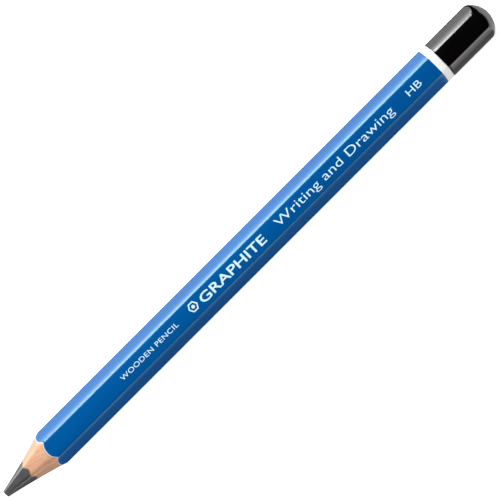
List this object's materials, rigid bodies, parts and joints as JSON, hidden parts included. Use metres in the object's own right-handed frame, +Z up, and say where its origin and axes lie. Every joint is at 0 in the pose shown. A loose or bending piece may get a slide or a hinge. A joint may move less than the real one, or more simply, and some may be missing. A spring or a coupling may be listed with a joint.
{
  "type": "pencil",
  "caption": "Thick hexagonal wood-cased graphite pencil, sharpened, with glossy blue lacquer, a white ring and a rounded black dipped end; for writing and drawing",
  "frame": {"origin": "under the middle of the pencil, on the surface that it lies on", "axes": "+X along the pencil from the writing tip to the capped end, +Y across it, +Z up from the flat that it lies on"},
  "size_m": [0.175, 0.011, 0.01],
  "materials": {
    "graphite": "dark grey graphite with a metallic sheen and fine sharpening marks",
    "wood": "bare pale reddish cedar-like wood with fine lengthwise grain",
    "glue": "thin film of dried glue",
    "undercoat": "matt off-white paint",
    "blue_lacquer": "high-gloss mid-blue lacquer",
    "white_lacquer": "gloss white lacquer",
    "black_lacquer": "high-gloss black dip lacquer"
  },
  "bodies": {
    "root": {"graphite_lead": "graphite", "lead_glue_sleeve": "glue", "upper_slat": "wood", "lower_slat": "wood", "back_seam_glue": "glue", "front_seam_glue": "glue", "undercoat": "undercoat", "blue_lacquer": "blue_lacquer", "white_ring": "white_lacquer", "end_cap": "black_lacquer"}
  },
  "joints": []
}
